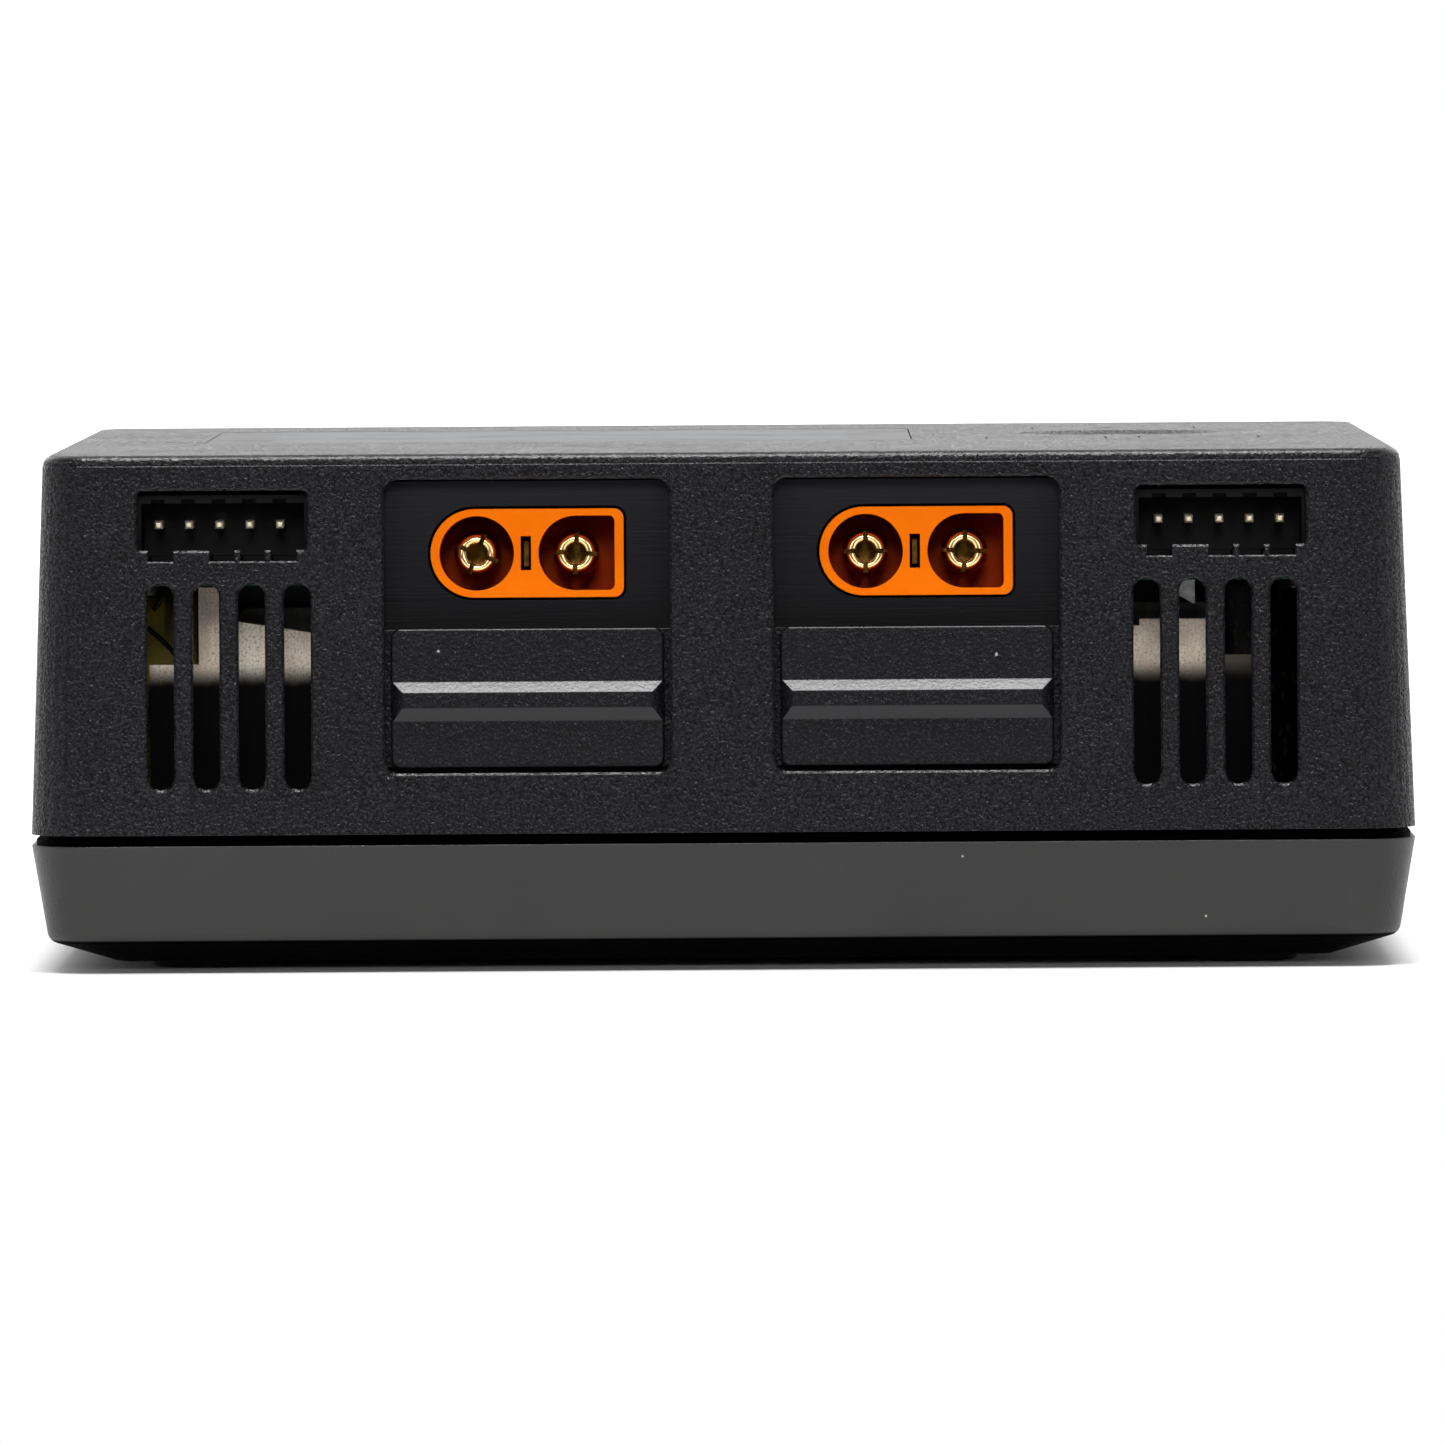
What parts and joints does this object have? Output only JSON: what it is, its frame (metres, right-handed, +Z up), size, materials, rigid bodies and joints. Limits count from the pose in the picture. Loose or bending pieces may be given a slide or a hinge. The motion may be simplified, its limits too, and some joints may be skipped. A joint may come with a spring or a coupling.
{
  "type": "balance battery charger",
  "caption": "Boxy mains balance charger with keyed output sockets behind sliding doors, balance headers above vent slots, a top display, a scroll wheel, buttons and a rear fan.",
  "frame": {"origin": "on the table, under the middle of the case", "axes": "+Z up; -Y is the front, which has the output bays; +X to the right as seen from the front"},
  "size_m": [0.114, 0.11, 0.0426],
  "materials": {
    "case_upper_plastic": "fine leathery spark grain, satin",
    "case_lower_plastic": "smoother satin grain",
    "door_plastic": "spark grain with a smooth finger bar",
    "bay_plastic": "smooth with fine horizontal tool marks",
    "foot_rubber": "matte",
    "label": "blank printed film",
    "steel_screws": "blackened or zinc plated",
    "orange_plastic": "smooth satin",
    "gold_plate": "gold plated, bright",
    "tinned_contacts": "tin plated, bright",
    "board_laminate": "solder mask, semi gloss",
    "header_plastic": "smooth",
    "chip_plastic": "moulded epoxy",
    "lcd_panel": "glossy panel in a thin metal frame",
    "smoked_lens": "polished, dark tint",
    "button_plastic": "smooth satin",
    "wheel_rubber": "ribbed, matte",
    "inner_plastic": "smooth moulded",
    "insulator_film": "thin glossy film",
    "aluminium": "brushed along its length",
    "ferrite": "sintered, matte",
    "coil_tape": "glossy polyester tape",
    "capacitor_sleeve": "shrink sleeve",
    "film_box": "moulded box",
    "copper_winding": "enamelled",
    "inlet_plastic": "smooth",
    "nickel_plate": "bright plated",
    "fan_plastic": "smooth moulded"
  },
  "bodies": {
    "case": {"upper_shell": "case_upper_plastic", "lower_shell": "case_lower_plastic", "rubber_feet": "foot_rubber", "rating_label": "label", "case_screws": "steel_screws", "port_board": "board_laminate", "port_plate_screws": "steel_screws", "control_board": "board_laminate", "control_board_screws": "steel_screws", "control_chips": "chip_plastic", "buzzer": "chip_plastic", "lcd_module": "lcd_panel", "display_lens": "smoked_lens", "button_switches": "nickel_plate", "encoder_base": "inner_plastic", "power_board": "board_laminate", "power_board_screws": "steel_screws", "insulator_sheet": "insulator_film", "heat_sink_left": "aluminium", "heat_sink_right": "aluminium", "power_transistor": "chip_plastic", "transformer_core": "ferrite", "transformer_winding": "coil_tape", "bulk_capacitor": "capacitor_sleeve", "output_capacitors": "capacitor_sleeve", "output_inductors": "ferrite", "filter_choke": "copper_winding", "filter_capacitor": "film_box", "bridge_rectifier": "chip_plastic", "power_links": "tinned_contacts", "ac_inlet": "inlet_plastic", "ac_inlet_pins": "nickel_plate", "usb_socket": "nickel_plate", "fan_frame": "fan_plastic", "fan_screws": "steel_screws", "port_plate_left": "bay_plastic", "small_socket_left": "orange_plastic", "small_contacts_left": "gold_plate", "large_socket_left": "orange_plastic", "large_contacts_left": "gold_plate", "balance_header_left": "header_plastic", "balance_pins_left": "tinned_contacts", "port_plate_right": "bay_plastic", "small_socket_right": "orange_plastic", "small_contacts_right": "gold_plate", "large_socket_right": "orange_plastic", "large_contacts_right": "gold_plate", "balance_header_right": "header_plastic", "balance_pins_right": "tinned_contacts"},
    "left_door": {"port_door_left": "door_plastic"},
    "right_door": {"port_door_right": "door_plastic"},
    "rotor": {"fan_rotor": "fan_plastic"},
    "carrier": {"wheel_carrier": "inner_plastic"},
    "wheel": {"scroll_wheel": "wheel_rubber"},
    "channel_1_cap": {"channel_1_button": "button_plastic"},
    "channel_2_cap": {"channel_2_button": "button_plastic"},
    "back_cap": {"back_button": "button_plastic"}
  },
  "joints": [
    {"name": "left_door_slide", "type": "slide", "parent": "case", "child": "left_door", "axis": [0, 0.0366, 0.9993], "range_m": [0, 0.0118]},
    {"name": "right_door_slide", "type": "slide", "parent": "case", "child": "right_door", "axis": [0, 0.0366, 0.9993], "range_m": [0, 0.0118]},
    {"name": "fan_spin", "type": "hinge", "parent": "case", "child": "rotor", "pos_m": [0.024, 0.0466, 0.0254], "axis": [0, 1, 0], "continuous": true},
    {"name": "wheel_press", "type": "slide", "parent": "case", "child": "carrier", "axis": [0, 0, -1], "range_m": [0, 0.0004], "stiffness_N_per_m": 4000},
    {"name": "wheel_spin", "type": "hinge", "parent": "carrier", "child": "wheel", "pos_m": [0.034, 0.012, 0.03635], "axis": [1, 0, 0], "continuous": true},
    {"name": "channel_1_press", "type": "slide", "parent": "case", "child": "channel_1_cap", "axis": [0, 0, -1], "range_m": [0, 0.00035], "stiffness_N_per_m": 4000},
    {"name": "channel_2_press", "type": "slide", "parent": "case", "child": "channel_2_cap", "axis": [0, 0, -1], "range_m": [0, 0.00035], "stiffness_N_per_m": 4000},
    {"name": "back_press", "type": "slide", "parent": "case", "child": "back_cap", "axis": [0, 0, -1], "range_m": [0, 0.00035], "stiffness_N_per_m": 4000}
  ]
}
